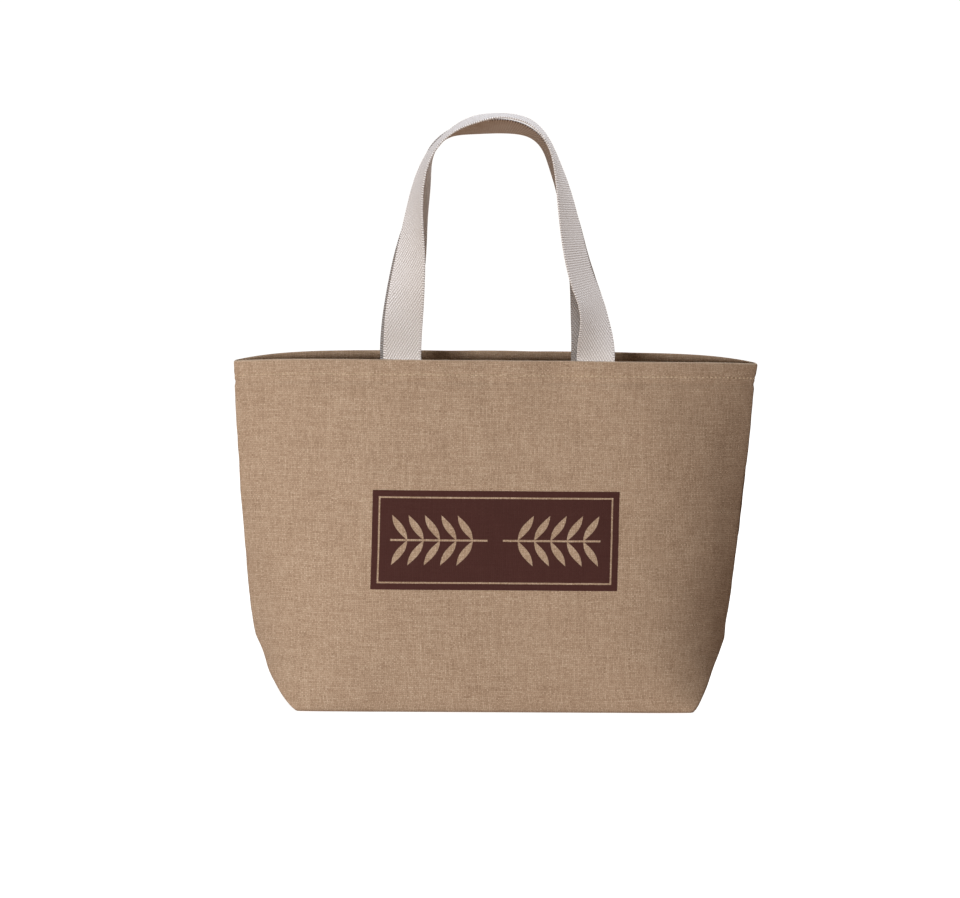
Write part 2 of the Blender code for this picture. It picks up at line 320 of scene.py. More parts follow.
def inside_steps():
    """Places down the inside, as how far below the rim, and how far in from the outside: the doubled
    cloth of the hem, its rounded raw edge, and the single cloth down to the floor."""
    doubled = [*np.arange(HEM / 2, HEM_DEPTH, HEM_INSIDE_STEP), HEM_DEPTH - EDGE_ROUND]
    single = [*np.arange(HEM_DEPTH + INSIDE_ROWS_START, RIM - CLOTH, INSIDE_ROW_STEP), RIM - CLOTH]
    edge = [
        (HEM_DEPTH, HEM - EDGE_ROUND),
        (HEM_DEPTH + EDGE_STEP, CLOTH + EDGE_ROUND),
        (HEM_DEPTH + 2 * EDGE_ROUND, CLOTH),
    ]
    return [(below, HEM) for below in doubled] + edge + [(below, CLOTH) for below in single]


# The wall's rows of points, from the floor up the outside and back down the inside, with the place
# of each row along the cloth, and the outside alone with its places across, heights and normals
Wall = namedtuple("Wall", "rows places front_s back_s heights outside normals")


def make_wall():
    """The wall with its relief: up the outside, over the fold of the rim and down the inside."""
    heights = wall_rows()
    plain = plain_wall(heights)
    front_s, back_s, t = cloth_places(plain)
    proud = relief(front_s[:, :-1], back_s[:, :-1], t, heights)
    outside = plain + outward(plain) * proud[:, :, None]
    outside[0, :, 2] = 0.0
    normals = outward(outside)
    rows, places = list(outside), list(t)
    # Over the fold of the rim
    top, top_normal, top_t = outside[-1], normals[-1], t[-1]
    up = top - outside[-2]
    up = up / np.linalg.norm(up, axis=1, keepdims=True)
    for turn in np.linspace(0, math.pi, RIM_STEPS + 1)[1:-1]:
        inwards = HEM / 2 * (1 - math.cos(turn))
        rows.append(top - top_normal * inwards + up * HEM / 2 * math.sin(turn))
        places.append(top_t + HEM / 2 * turn)
    rim_t = top_t + HEM / 2 * math.pi
    down = RIM - heights
    for below, depth in inside_steps():
        k = int(np.clip(np.searchsorted(-down, -below), 1, len(down) - 1))
        share = (down[k - 1] - below) / (down[k - 1] - down[k])
        point = outside[k - 1] * (1 - share) + outside[k] * share
        normal = normals[k - 1] * (1 - share) + normals[k] * share
        here_t = t[k - 1] * (1 - share) + t[k] * share
        rows.append(point - normal * depth)
        places.append(2 * rim_t - here_t)
    inner_floor = rows[-1].copy()
    inner_floor[:, 2] = CLOTH
    rows[-1] = inner_floor
    return Wall(np.array(rows), np.array(places), front_s, back_s, heights, outside, normals)


def add_piece(name, points, faces, materials, uv=None, slots=None):
    """A smooth-shaded mesh object; uv holds a place for each corner of each face."""
    mesh = bpy.data.meshes.new(name)
    mesh.from_pydata([tuple(p) for p in points], [], [tuple(f) for f in faces])
    if uv is not None:
        layer = mesh.uv_layers.new(name="cloth")
        layer.data.foreach_set("uv", np.asarray(uv, float).ravel())
    for material in materials:
        mesh.materials.append(material)
    if slots is not None:
        mesh.polygons.foreach_set("material_index", slots)
    mesh.shade_smooth()
    piece = bpy.data.objects.new(name, mesh)
    bpy.context.collection.objects.link(piece)
    return piece


def build_body(wall, materials):
    """The wall's mesh, closed by a floor outside and one inside. The first material is on the front's
    outside alone."""
    rows, places = wall.rows, wall.places
    count = len(rows)
    points = rows.reshape(-1, 3)
    number = np.arange(count * AROUND).reshape(count, AROUND)
    # A row inside takes its places across the cloth from the outside row at the same height
    outside = len(wall.heights)
    middle_z = rows[:, PANEL_STEPS // 2, 2]
    level = np.rint(np.interp(middle_z, middle_z[:outside], np.arange(outside))).astype(int)
    level[:outside] = np.arange(outside)
    # Along the cloth the front wall starts at 0, and the base lies between it and the back wall
    base = 2 * section_at(0.0).front
    faces, uv, slots = [], [], []
    for row in range(count - 1):
        for column in range(AROUND):
            after = (column + 1) % AROUND
            front = column < RIGHT_SEAM or column >= LEFT_SEAM
            low, high = number[row], number[row + 1]
            faces.append((low[column], low[after], high[after], high[column]))
            s = wall.front_s if front else wall.back_s
            low_s, high_s = s[level[row]], s[level[row + 1]]
            low_t, high_t = places[row], places[row + 1]
            if not front:
                low_t, high_t = -base - low_t, -base - high_t
            uv.append((low_s[column], low_t))
            uv.append((low_s[column + 1], low_t))
            uv.append((high_s[column + 1], high_t))
            uv.append((high_s[column], high_t))
            slots.append(0 if front and row < outside - 1 else 1)
    extra = []
    for edge_row, inside in ((0, False), (count - 1, True)):
        edge = number[edge_row]
        grid = np.zeros((FACET_STEPS + 1, PANEL_STEPS + 1), int)
        grid[0] = edge[: PANEL_STEPS + 1]
        grid[-1] = edge[BACK_START : BACK_START + PANEL_STEPS + 1][::-1]
        grid[:, 0] = np.concatenate([edge[BACK_START + PANEL_STEPS :], edge[:1]])[::-1]
        grid[:, -1] = edge[PANEL_STEPS : BACK_START + 1]
        for i in range(1, FACET_STEPS):
            share = i / FACET_STEPS
            for j in range(1, PANEL_STEPS):
                front_point, back_point = points[grid[0, j]], points[grid[-1, j]]
                grid[i, j] = len(points) + len(extra)
                extra.append(front_point * (1 - share) + back_point * share)
        across = [points[k][0] for k in grid[0]]
        under = [-base * i / FACET_STEPS for i in range(FACET_STEPS + 1)]
        for i in range(FACET_STEPS):
            for j in range(PANEL_STEPS):
                face = [grid[i, j], grid[i + 1, j], grid[i + 1, j + 1], grid[i, j + 1]]
                corners = [
                    (across[j], under[i]),
                    (across[j], under[i + 1]),
                    (across[j + 1], under[i + 1]),
                    (across[j + 1], under[i]),
                ]
                if inside:
                    face, corners = face[::-1], corners[::-1]
                faces.append(face)
                uv.extend(corners)
                slots.append(1)
    return add_piece("burlap_body", np.concatenate([points, extra]), faces, materials, uv, slots)


def colour(code):
    """Linear red, green, blue and alpha of an sRGB hex code."""
    parts = [int(code[i : i + 2], 16) / 255 for i in (0, 2, 4)]
    return (*[p / 12.92 if p <= 0.04045 else ((p + 0.055) / 1.055) ** 2.4 for p in parts], 1.0)


def add_node(tree, kind, inputs=(), **settings):
    """Add a shader node with its settings, link or set its inputs, and give its first output."""
    node = tree.nodes.new("ShaderNode" + kind)
    for setting, value in settings.items():
        setattr(node, setting, value)
    for place, value in inputs.items() if isinstance(inputs, dict) else enumerate(inputs):
        if isinstance(value, bpy.types.NodeSocket):
            tree.links.new(value, node.inputs[place])
        else:
            node.inputs[place].default_value = value
    return next(output for output in node.outputs if output.enabled)


def new_material(name, **finish):
    """A material's tree and shader. What is the same all over is set on the shader itself."""
    material = bpy.data.materials.new(name)
    material.use_nodes = True
    shader = material.node_tree.nodes["Principled BSDF"]
    for socket, value in finish.items():
        shader.inputs[socket.replace("_", " ")].default_value = value
    return material, material.node_tree, shader


# The weave. Its pitch is the real one. A single fibre is too fine to show, so the hair of the yarns
# is drawn as specks of 0.7 mm.
WARP_PITCH = 1.65 * MM
WEFT_PITCH = 1.75 * MM
YARN_WANDER = 30 * MM
WANDER_IN_YARNS = 2.4
SLUB = 30 * MM
FIBRE = 0.7 * MM
PATCH = 70 * MM
HUSK_SPACING = 27 * MM
HUSK_RADIUS = 0.7 * MM
HUSK_EDGE = 0.25 * MM
# How near the fold of the rim the painted highlight is full, and how far it reaches
RIM_HIGHLIGHT_FULL = 0.8 * MM
RIM_HIGHLIGHT_REACH = 2.6 * MM
WEAVE_DEPTH = 0.4 * MM

# The print
PRINT_WIDTH = 226.4 * MM
PRINT_HEIGHT = 91.2 * MM
PRINT_MIDDLE_X = 2.7 * MM
PRINT_MIDDLE_Z = 162.0 * MM
BRANCH_START = 13 * MM
LEAF_PITCH = 15 * MM
LEAF_LEAN = 0.62
LEAF_REACH = 23 * MM
LEAF_HALF_WIDTH = 3.9 * MM
LEAF_COUNT = 5
STEM_HALF_WIDTH = 0.9 * MM
STEM_BEFORE_LEAVES = 6 * MM
STEM_PAST_LEAVES = 0.55 * LEAF_PITCH
BORDER_INSET = 6.5 * MM
BORDER_HALF_WIDTH = 0.75 * MM
RAGGED_EDGE = 0.6 * MM
INK_COVER = 0.97


def screen_print(tree, cloth, printed_middle):
    """Where the ink lies, from 0 to 1: a solid panel with a leafy branch to each side of its middle
    and a thin border left bare. Each shape is a distance inside its outline, in metres."""
    middle = (-PRINT_MIDDLE_X, -printed_middle, 0)
    place = add_node(tree, "VectorMath", [cloth, middle], operation="ADD")
    place = add_node(tree, "VectorMath", [place], operation="ABSOLUTE")
    place = add_node(tree, "SeparateXYZ", [place]).node.outputs
    across, up = place["X"], place["Y"]
    side = add_node(tree, "Math", [PRINT_WIDTH / 2, across], operation="SUBTRACT")
    end = add_node(tree, "Math", [PRINT_HEIGHT / 2, up], operation="SUBTRACT")
    panel = add_node(tree, "Math", [side, end], operation="MINIMUM")
    # Leaves lean outwards from the stem, and each is widest half way along
    along = add_node(tree, "Math", [across, BRANCH_START], operation="SUBTRACT")
    root = add_node(tree, "Math", [up, -LEAF_LEAN, along], operation="MULTIPLY_ADD")
    beside = add_node(tree, "Math", [root, LEAF_PITCH / 2], operation="ADD")
    beside = add_node(tree, "Math", [beside, LEAF_PITCH / 2], operation="PINGPONG")
    width = add_node(tree, "Math", [up, math.pi / LEAF_REACH], operation="MULTIPLY")
    width = add_node(tree, "Math", [width], operation="SINE")
    leaf = add_node(tree, "Math", [width, LEAF_HALF_WIDTH], operation="MULTIPLY")
    leaf = add_node(tree, "Math", [leaf, beside], operation="SUBTRACT")
    to_last = add_node(tree, "Math", [LEAF_PITCH * LEAF_COUNT, root], operation="SUBTRACT")
    leaf = add_node(tree, "Math", [leaf, root], operation="MINIMUM")
    leaf = add_node(tree, "Math", [leaf, to_last], operation="MINIMUM")
    stem = add_node(tree, "Math", [STEM_HALF_WIDTH, up], operation="SUBTRACT")
    stem_start = add_node(tree, "Math", [along, STEM_BEFORE_LEAVES], operation="ADD")
    stem_length = LEAF_PITCH * LEAF_COUNT + STEM_PAST_LEAVES
    stem_end = add_node(tree, "Math", [stem_length, along], operation="SUBTRACT")
    stem = add_node(tree, "Math", [stem, stem_start], operation="MINIMUM")
    stem = add_node(tree, "Math", [stem, stem_end], operation="MINIMUM")
    border = add_node(tree, "Math", [panel, BORDER_INSET], operation="SUBTRACT")
    border = add_node(tree, "Math", [border], operation="ABSOLUTE")
    border = add_node(tree, "Math", [BORDER_HALF_WIDTH, border], operation="SUBTRACT")
    bare = add_node(tree, "Math", [leaf, stem], operation="MAXIMUM")
    bare = add_node(tree, "Math", [bare, border], operation="MAXIMUM")
    bare = add_node(tree, "Math", [bare, -1.0], operation="MULTIPLY")
    inked = add_node(tree, "Math", [panel, bare], operation="MINIMUM")
    # The hair of the yarns breaks up the ink's edge
    ragged = add_node(tree, "TexNoise", {"Vector": cloth, "Scale": 1 / FIBRE})
    inked = add_node(tree, "Math", [ragged, RAGGED_EDGE, inked], operation="MULTIPLY_ADD")
    reach = {"Value": inked, "From Min": 0.1 * MM, "From Max": 0.5 * MM, "To Max": INK_COVER}
    return add_node(tree, "MapRange", reach)


def burlap(name, rim_fold, printed_middle=None):
    """Plain-woven jute: hairy dull-gold yarns, each with its own run of light and dark slubs, painted
    shade in the tiny holes where four yarns meet, and a stray husk here and there. Matt, with a dry
    bloom. The print, where there is one, is a flat brown ink that the yarns show through a little."""
    material, tree, shader = new_material(
        name, Roughness=0.9, Sheen_Weight=0.12, Sheen_Roughness=0.5, Specular_IOR_Level=0.2
    )
    cloth = add_node(tree, "UVMap", uv_map="cloth")
    wander = add_node(tree, "TexNoise", {"Vector": cloth, "Scale": 1 / YARN_WANDER, "Detail": 1.0})
    wander = {0: wander.node.outputs["Color"], "Scale": WANDER_IN_YARNS}
    wander = add_node(tree, "VectorMath", wander, operation="SCALE")
    pitches = (1 / WARP_PITCH, 1 / WEFT_PITCH, 0)
    yarns = add_node(tree, "VectorMath", [cloth, pitches, wander], operation="MULTIPLY_ADD")
    number = add_node(tree, "VectorMath", [yarns], operation="FLOOR")
    crowns = add_node(tree, "VectorMath", {0: yarns, "Scale": math.pi}, operation="SCALE")
    crowns = add_node(tree, "VectorMath", [crowns], operation="SINE")
    crowns = add_node(tree, "SeparateXYZ", [crowns]).node.outputs
    crossing = add_node(tree, "Math", [crowns["X"], crowns["Y"]], operation="MULTIPLY")
    over = {"Value": crossing, "From Min": -0.12, "From Max": 0.12}
    warp_on_top = add_node(tree, "MapRange", over, interpolation_type="SMOOTHSTEP")
    # Each yarn reads its own line of the noise, stretched along it: the warp first, then the weft
    slubs = []
    for apart, run in (((7.31, 0, 0), (0, 1 / SLUB, 0)), ((0, 5.17, 0), (1 / SLUB, 0, 0))):
        place = add_node(tree, "VectorMath", [cloth, run], operation="MULTIPLY")
        place = add_node(tree, "VectorMath", [number, apart, place], operation="MULTIPLY_ADD")
        slubs.append(add_node(tree, "TexNoise", {"Vector": place, "Scale": 1.0, "Detail": 2.0}))
    shade = add_node(tree, "Mix", {"Factor": warp_on_top, "A": slubs[1], "B": slubs[0]})
    speckle = add_node(tree, "TexWhiteNoise", {"Vector": number})
    patches = add_node(tree, "TexNoise", {"Vector": cloth, "Scale": 1 / PATCH, "Detail": 3.0})
    fibres = add_node(tree, "TexNoise", {"Vector": cloth, "Scale": 1 / FIBRE, "Detail": 2.0})
    weights = ((shade, 0.85), (speckle, 0.24), (patches, 0.14), (fibres, 1.8))
    tone = 0.5 - sum(weight for _, weight in weights) / 2
    for part, weight in weights:
        tone = add_node(tree, "Math", [part, weight, tone], operation="MULTIPLY_ADD")
    dark = add_node(tree, "MapRange", {"Value": tone, "From Min": 0.0, "From Max": 0.5})
    light = add_node(tree, "MapRange", {"Value": tone, "From Min": 0.5, "From Max": 1.0})
    dyed = {"Factor": dark, "A": colour("8F745C"), "B": colour("BCA087")}
    dyed = add_node(tree, "Mix", dyed, data_type="RGBA")
    dyed = {"Factor": light, "A": dyed, "B": colour("DDC7AE")}
    dyed = add_node(tree, "Mix", dyed, data_type="RGBA")
    raised = add_node(tree, "Math", [crossing], operation="ABSOLUTE")
    # Painted shade: the holes where four yarns meet are darkened towards a deep brown
    hole_shade = {"Value": raised, "From Min": 0.0, "From Max": 0.35, "To Min": 0.4, "To Max": 0.0}
    hole_shade = add_node(tree, "MapRange", hole_shade)
    dyed = add_node(tree, "Mix", {"Factor": hole_shade, "A": dyed, "B": colour("6E5542")}, data_type="RGBA")
    # A husk: one in a few cells of a scattered grid holds a dark fleck up to 1.4 mm across
    husks = add_node(tree, "TexVoronoi", {"Vector": cloth, "Scale": 1 / HUSK_SPACING}).node.outputs
    chance = add_node(tree, "SeparateXYZ", [husks["Color"]])
    reach = {"Value": chance, "From Min": 0.6, "From Max": 1.0, "To Max": HUSK_RADIUS / HUSK_SPACING}
    reach = add_node(tree, "MapRange", reach)
    husk = add_node(tree, "Math", [reach, husks["Distance"]], operation="SUBTRACT")
    husk = {"Value": husk, "From Max": HUSK_EDGE / HUSK_SPACING, "To Max": 0.7}
    husk = add_node(tree, "MapRange", husk)
    dyed = add_node(tree, "Mix", {"Factor": husk, "A": dyed, "B": colour("4E3A29")}, data_type="RGBA")
    # A painted highlight: the fold of the front rim is painted paler, as if it caught the light
    up = add_node(tree, "SeparateXYZ", [cloth]).node.outputs["Y"]
    rim_highlight = add_node(tree, "Math", [up, rim_fold], operation="SUBTRACT")
    rim_highlight = add_node(tree, "Math", [rim_highlight], operation="ABSOLUTE")
    rim_highlight = {"Value": rim_highlight, "From Min": RIM_HIGHLIGHT_FULL, "From Max": RIM_HIGHLIGHT_REACH}
    rim_highlight = add_node(tree, "MapRange", {**rim_highlight, "To Min": 0.6, "To Max": 0.0})
    dyed = add_node(tree, "Mix", {"Factor": rim_highlight, "A": dyed, "B": colour("E6D3BC")}, data_type="RGBA")
    if printed_middle is not None:
        ink = screen_print(tree, cloth, printed_middle)
        body = {"Factor": shade, "A": colour("411F1D"), "B": colour("4B2523")}
        body = add_node(tree, "Mix", body, data_type="RGBA")
        dyed = add_node(tree, "Mix", {"Factor": ink, "A": dyed, "B": body}, data_type="RGBA")
    tree.links.new(dyed, shader.inputs["Base Color"])
    height = add_node(tree, "Math", [raised, 0.5], operation="POWER")
    height = add_node(tree, "Math", [shade, 0.7, height], operation="MULTIPLY_ADD")
    height = add_node(tree, "Math", [fibres, 0.25, height], operation="MULTIPLY_ADD")
    weave = {"Height": height, "Distance": WEAVE_DEPTH, "Strength": 0.5}
    tree.links.new(add_node(tree, "Bump", weave), shader.inputs["Normal"])
    return material


# Where the print's middle and the fold of the rim lie along the front's cloth
front_middle = np.array([panel_points(section_at(h), 0.0, False)[0] for h in wall_rows()])
front_lengths = lengths_along(front_middle)
printed_middle = float(np.interp(PRINT_MIDDLE_Z, front_middle[:, 2], front_lengths))
rim_fold = float(front_lengths[-1] + HEM * math.pi / 4)

printed_jute = burlap("printed jute burlap", rim_fold, printed_middle)
plain_jute = burlap("jute burlap", rim_fold)
wall = make_wall()
body = build_body(wall, [printed_jute, plain_jute])
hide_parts("bag_body")
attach(body, "root")


# ---------------------------------------------------------------- the hem's stitching
# One row of lockstitch in natural cotton thread, about 14 mm below the rim, round the whole mouth.
# Each stitch is a short length of thread that dips into the cloth at both ends.

# Real thread is thinner. It is drawn as thick as it needs to show.
STITCH_LENGTH = 4.4 * MM
STITCH_GAP = 0.7 * MM
THREAD = 1.15 * MM
THREAD_SHADE = 3.333 * MM
LOOK_AHEAD = 0.3 * MM

# Shares of the thread's thickness: how thick a stitch's ends are, how high it arches and how deep its
# ends are sunk
THREAD_ENDS = 0.45
STITCH_ARCH = 0.34
STITCH_SUNK = 0.22


def cotton_thread():
    """Waxed natural cotton thread: a smooth pale yarn with a soft shine on each stitch."""
    material, tree, shader = new_material(
        "natural cotton thread", Roughness=0.6, Sheen_Weight=0.1, Specular_IOR_Level=0.35
    )
    place = add_node(tree, "TexCoord").node.outputs["Object"]
    shade = add_node(tree, "TexNoise", {"Vector": place, "Scale": 1 / THREAD_SHADE})
    shade = add_node(tree, "MapRange", {"Value": shade, "From Min": 0.3, "From Max": 0.7})
    spun = {"Factor": shade, "A": colour("B9A084"), "B": colour("DDC8AA")}
    tree.links.new(add_node(tree, "Mix", spun, data_type="RGBA"), shader.inputs["Base Color"])
    return material


def stitch_row(path, normals, length, gap, thread, sides=6, rings=7):
    """Points and faces of stitches laid along a path, each sunk into the cloth at both ends."""
    along = lengths_along(path)
    points, faces = [], []
    for start in np.arange(0, along[-1] - length, length):
        first = len(points)
        for k in range(rings):
            share = k / (rings - 1)
            place = start + gap / 2 + (length - gap) * share
            centre = np.array([np.interp(place, along, path[:, a]) for a in range(3)])
            ahead = place + LOOK_AHEAD
            ahead = np.array([np.interp(ahead, along, path[:, a]) for a in range(3)])
            out = np.array([np.interp(place, along, normals[:, a]) for a in range(3)])
            out = out / np.linalg.norm(out)
            way = (ahead - centre) / max(np.linalg.norm(ahead - centre), 1e-9)
            beside = np.cross(out, way)
            arch = math.sin(math.pi * share)
            radius = thread / 2 * (THREAD_ENDS + (1 - THREAD_ENDS) * arch**0.5)
            middle = centre + out * thread * (STITCH_ARCH * arch - STITCH_SUNK)
            for side in range(sides):
                angle = 2 * math.pi * side / sides
                points.append(middle + radius * (math.cos(angle) * out + math.sin(angle) * beside))
        for k in range(rings - 1):
            for side in range(sides):
                a, b = first + k * sides + side, first + k * sides + (side + 1) % sides
                faces.append((a, b, b + sides, a + sides))
        faces.append([first + side for side in range(sides)][::-1])
        faces.append([first + (rings - 1) * sides + side for side in range(sides)])
    return points, faces


def hem_path(below, depth):
    """The closed line this far below the rim and this deep into the cloth, and its normals."""
    down = RIM - wall.heights
    k = int(np.searchsorted(-down, -below))
    share = (down[k - 1] - below) / (down[k - 1] - down[k])
    path = wall.outside[k - 1] * (1 - share) + wall.outside[k] * share
    normals = wall.normals[k - 1] * (1 - share) + wall.normals[k] * share
    path = path - normals * depth
    return np.vstack([path, path[:1]]), np.vstack([normals, normals[:1]])


thread_finish = cotton_thread()
for name, depth, facing in (("hem_stitches_outside", 0.0, 1), ("hem_stitches_inside", HEM, -1)):
    path, normals = hem_path(STITCH_BELOW_RIM, depth)
    stitch_points, stitch_faces = stitch_row(path, normals * facing, STITCH_LENGTH, STITCH_GAP, THREAD)
    stitches = add_piece(name, stitch_points, stitch_faces, [thread_finish])
    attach(stitches, "root")


# ---------------------------------------------------------------- the handles
# Two lengths of 35 mm unbleached cotton twill webbing, each sewn flat against the inside of the hem
# at both ends and twisted on edge where the two are gathered at the top.

WEB_WIDTH = 35 * MM
WEB = 1.8 * MM
SEWN_END = 17.5 * MM
SEAT_GAP = 0.45 * MM
CLEAR_OF_RIM = 5 * MM
LEFT_END_OUT = 1.5 * MM
RIGHT_END_OUT = 0.5 * MM
SEAT_SAMPLES = 9
WEB_STEPS = 84
SMOOTHING_PASSES = 3

# The free run of each handle in the part's solid, in millimetres and degrees of twist
Station = namedtuple("Station", "x y z twist")
FRONT_HANDLE = [
    Station(-85.4, -28.0, 356.0, 2.0),
    Station(-82.1, -27.5, 388.0, 22.0),
    Station(-78.5, -26.0, 420.0, 40.0),
    Station(-76.0, -24.5, 451.0, 60.0),
    Station(-72.0, -22.5, 482.0, 73.0),
    Station(-62.5, -20.0, 510.0, 82.0),
    Station(-45.2, -18.2, 529.3, 86.0),
    Station(-23.5, -17.5, 541.6, 81.0),
    Station(4.0, -17.2, 546.2, 87.0),
    Station(28.3, -17.8, 541.3, 84.0),
    Station(46.0, -19.0, 523.0, 85.0),
    Station(52.3, -20.5, 507.5, 82.0),
    Station(58.8, -22.5, 483.5, 71.0),
    Station(64.9, -24.5, 452.5, 59.5),
    Station(71.3, -26.5, 420.5, 53.0),
    Station(79.2, -27.5, 393.0, 50.0),
    Station(87.0, -28.0, 374.0, 48.0),
    Station(90.5, -28.0, 350.0, 32.0),
]
BACK_HANDLE = [
    Station(-90.5, 34.8, 349.5, 6.0),
    Station(-85.9, 34.6, 382.5, 18.0),
    Station(-80.7, 33.5, 415.0, 33.0),
    Station(-75.1, 30.0, 448.0, 55.0),
    Station(-68.3, 25.5, 480.0, 70.0),
    Station(-63.3, 21.5, 508.0, 81.0),
    Station(-48.3, 19.2, 526.6, 82.0),
    Station(-23.5, 18.6, 533.7, 69.0),
    Station(6.0, 18.5, 535.5, 67.0),
    Station(30.0, 19.0, 530.2, 76.0),
    Station(45.0, 20.5, 515.0, 82.5),
    Station(51.8, 22.5, 499.0, 78.0),
    Station(59.2, 25.5, 480.5, 74.0),
    Station(68.4, 29.5, 448.5, 66.0),
    Station(75.4, 32.5, 415.7, 58.0),
    Station(82.6, 34.6, 383.5, 42.0),
    Station(87.9, 34.8, 350.4, 9.0),
]

# Mesh steps of the webbing: along it, and across one face
FINE_STEPS = 300
FACE_STEPS = 14
EDGE_STEPS = 5

# The free webbing is slightly cupped, and its width wavers
CUPPING = 0.7 * MM
CUPPED_BY = 40 * MM
CUPPED_MIDDLE = 0.4
WAVER = 0.006
WAVERS_PER_METRE = 90

# The weave. Its picks are drawn as coarse as they need to show, and real ones can be finer. The level
# ribs lie round a place on the right leg, measured from the handle's middle.
TWILL_ACROSS = 2.5 * MM
TWILL_ALONG = 4.3 * MM
PICK = 2.15 * MM
PICK_SLOPE = 0.1
PICK_DEPTH = 0.3 * MM
UNEVEN = 7.143 * MM
LEVEL_MIDDLE = 110 * MM
LEVEL_REACH = 85 * MM
LEVEL_BLEND = 25 * MM
SELVEDGE = 2.6 * MM
SELVEDGE_BLEND = 1 * MM
RUBBED = 25 * MM


def sewn_stations(x, back):
    """Stations of a handle's sewn end, flat on the inside of the hem and up past the rim."""
    found = []
    for below in (SEWN_END, SEWN_END / 2, 0.0):
        section = section_at(RIM - below)
        reach = section.left if x < 0 else section.right
        places = np.linspace(x - WEB_WIDTH / 2, x + WEB_WIDTH / 2, SEAT_SAMPLES)
        spots = panel_points(section, places / reach, back)
        over = spots[-1] - spots[0]
        here = panel_points(section, x / reach, back)[0]
        up = here - panel_points(section_at(RIM - below - MM), x / reach, back)[0]
        inwards = np.cross(over, up) if back else np.cross(up, over)
        inwards = inwards / np.linalg.norm(inwards)
        proud = max(np.dot(spot - here, inwards) for spot in spots)
        seat = here + inwards * (proud + HEM + SEAT_GAP + WEB / 2)
        lean = over[1] if (x < 0) == back else -over[1]
        found.append(np.append(seat, math.degrees(math.atan2(lean, over[0]))))
    clear = up / np.linalg.norm(up) * CLEAR_OF_RIM
    found.append(found[-1] + np.append(clear, 0.0))
    return found


def handle_run(stations, back):
    """Centres, width directions, facing directions and distances along a handle."""
    free = [np.array([s.x * MM, s.y * MM, s.z * MM, s.twist]) for s in stations]
    left = sewn_stations(stations[0].x * MM - LEFT_END_OUT, back)
    right = sewn_stations(stations[-1].x * MM + RIGHT_END_OUT, back)[::-1]
    table = np.array(left + free + right)
    along = lengths_along(table[:, :3])
    places = np.linspace(0, along[-1], WEB_STEPS + 1)
    run = smooth_through(places, along, table)
    held = math.ceil((SEWN_END + CLEAR_OF_RIM) / places[1])
    for _ in range(SMOOTHING_PASSES):
        eased = (run[:-2] + 2 * run[1:-1] + run[2:]) / 4
        run[held:-held] = eased[held - 1 : 1 - held]
    fine = np.linspace(0, along[-1], FINE_STEPS + 1)
    run = smooth_through(fine, places, run)
    tangents = np.gradient(run[:, :3], fine, axis=0)
    tangents = tangents / np.linalg.norm(tangents, axis=1, keepdims=True)
    flat = np.cross((0, 1, 0), tangents)
    flat = flat / np.linalg.norm(flat, axis=1, keepdims=True)
    turned = np.radians(run[:, 3:]) * (1 if back else -1)
    width = np.cos(turned) * flat + np.sin(turned) * np.cross(tangents, flat)
    return run[:, :3], width, np.cross(tangents, width), fine


def web_outline():
    """One turn round the webbing's cross-section: share across it, and height through it."""
    flat = 1 - WEB / WEB_WIDTH
    face = [(a, WEB / 2) for a in np.linspace(-flat, flat, FACE_STEPS + 1)]
    turn = np.linspace(math.pi / 2, -math.pi / 2, EDGE_STEPS + 2)[1:-1]
    edge = [(flat + WEB / WEB_WIDTH * math.cos(a), WEB / 2 * math.sin(a)) for a in turn]
    return face + edge + [(-a, -h) for a, h in face] + [(-a, -h) for a, h in edge]


def build_handle(name, stations, back, material):
    """A handle's mesh, and its length along the middle of the webbing."""
    centres, width, through, along = handle_run(stations, back)
    outline = web_outline()
    size = len(outline)
    free = np.clip((np.minimum(along, along[-1] - along) - SEWN_END) / CUPPED_BY, 0, 1)
    points = []
    for k in range(len(along)):
        cup = CUPPING * free[k] * (1 if back else -1)
        waver = 1 + WAVER * noise.noise(Vector((along[k] * WAVERS_PER_METRE, 0.0, len(name))))
        for a, h in outline:
            lift = h + cup * (a * a - CUPPED_MIDDLE)
            points.append(centres[k] + width[k] * a * WEB_WIDTH / 2 * waver + through[k] * lift)
    faces, uv = [], []
    middle = along[-1] / 2
    for k in range(len(along) - 1):
        for i in range(size):
            j = (i + 1) % size
            faces.append((k * size + i, k * size + j, (k + 1) * size + j, (k + 1) * size + i))
            a, b = outline[i][0] * WEB_WIDTH / 2, outline[j][0] * WEB_WIDTH / 2
            low, high = along[k] - middle, along[k + 1] - middle
            uv.extend([(a, low), (b, low), (b, high), (a, high)])
    for first, end, turn in ((0, -middle, -1), ((len(along) - 1) * size, middle, 1)):
        faces.append([first + i for i in range(size)][::turn])
        uv.extend([(a * WEB_WIDTH / 2, end) for a, _ in outline][::turn])
    return add_piece(name, points, faces, [material], uv), float(along[-1])


